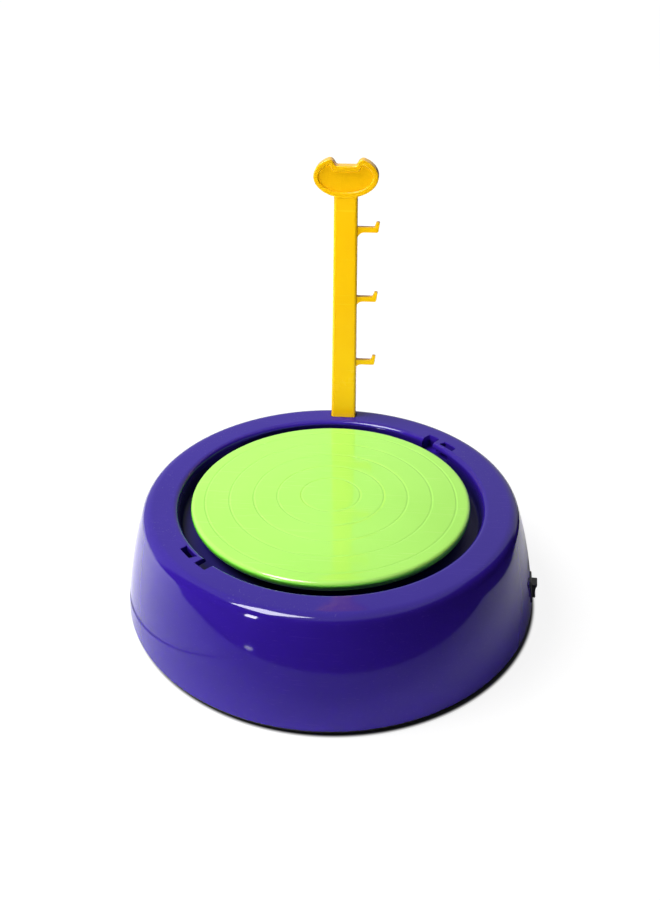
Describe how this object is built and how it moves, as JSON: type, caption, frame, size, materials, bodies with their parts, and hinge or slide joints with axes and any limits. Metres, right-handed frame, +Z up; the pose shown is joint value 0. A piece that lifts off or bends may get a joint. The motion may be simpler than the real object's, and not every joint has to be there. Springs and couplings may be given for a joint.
{
  "type": "pottery wheel",
  "caption": "Small electric pottery wheel: a grooved turntable driven by a geared motor in a domed base with a splash bowl, and a plug-in tool arm with hooks.",
  "frame": {"origin": "on the turntable's axis, at the level of the surface the rubber feet stand on", "axes": "+Z up along the turntable's axis, +Y towards the tool arm at the back, -Y towards the user"},
  "size_m": [0.2318, 0.231, 0.2148],
  "materials": {
    "violet_gloss": "glossy injection-moulded plastic",
    "lime_plastic": "glossy injection-moulded plastic",
    "yellow_plastic": "glossy injection-moulded plastic",
    "black_plastic": "fine moulded texture",
    "black_gloss": "smooth moulded plastic",
    "foot_rubber": "soft matt rubber",
    "steel": "zinc-plated steel",
    "plated_wire": "nickel plate",
    "brass": "plain brass",
    "magnet": "sintered ferrite",
    "white_plastic": "natural acetal",
    "cell_jacket": "plain printed jacket",
    "red_wire": "vinyl insulation",
    "black_wire": "vinyl insulation"
  },
  "bodies": {
    "base": {"housing": "violet_gloss", "base_plate": "black_plastic", "rubber_feet": "foot_rubber", "housing_screws": "steel", "battery_cells": "cell_jacket", "battery_springs": "plated_wire", "battery_contacts_front": "plated_wire", "battery_contacts_back": "plated_wire", "gear_plate": "white_plastic", "gear_plate_screws": "steel", "motor_can": "steel", "motor_end_cap": "white_plastic", "motor_terminals": "brass", "motor_magnets": "magnet", "idler_axle": "steel", "lower_bush": "brass", "upper_bush": "brass", "switch_body": "black_gloss", "switch_terminals": "brass", "wire_battery_to_switch": "red_wire", "wire_switch_to_motor": "red_wire", "wire_motor_to_battery": "black_wire"},
    "wheel": {"turntable": "lime_plastic", "spindle": "steel", "drive_gear": "white_plastic", "drive_pin": "steel", "spindle_clip": "steel", "thrust_washer": "white_plastic"},
    "idler": {"idler_gear": "white_plastic"},
    "rotor": {"motor_shaft": "steel", "motor_armature": "steel", "motor_pinion": "brass"},
    "rocker": {"switch_rocker": "black_gloss"},
    "arm": {"tool_arm": "yellow_plastic"},
    "door": {"battery_door": "black_plastic", "battery_door_screws": "steel"}
  },
  "joints": [
    {"name": "wheel_spin", "type": "hinge", "parent": "base", "child": "wheel", "pos_m": [0, 0, 0.05], "axis": [0, 0, 1], "continuous": true},
    {"name": "idler_spin", "type": "hinge", "parent": "base", "child": "idler", "pos_m": [0.03014, 0.0174, 0.038], "axis": [0, 0, 1], "continuous": true},
    {"name": "motor_spin", "type": "hinge", "parent": "base", "child": "rotor", "pos_m": [0.03396, 0.03907, 0.02], "axis": [0, 0, 1], "continuous": true},
    {"name": "rocker_tip", "type": "hinge", "parent": "base", "child": "rocker", "pos_m": [0.11153, -0.01369, 0.01401], "axis": [0.1219, 0.9925, 0], "range_deg": [-20, 0]},
    {"name": "arm_lift", "type": "slide", "parent": "base", "child": "arm", "axis": [0, 0, 1], "range_m": [0, 0.045]},
    {"name": "door_drop", "type": "slide", "parent": "base", "child": "door", "axis": [0, 0, -1], "range_m": [0, 0.03]}
  ],
  "couplings": [
    {"joint": "idler_spin", "follows": "wheel_spin", "ratio": -6.25},
    {"joint": "motor_spin", "follows": "wheel_spin", "ratio": 28.125}
  ]
}
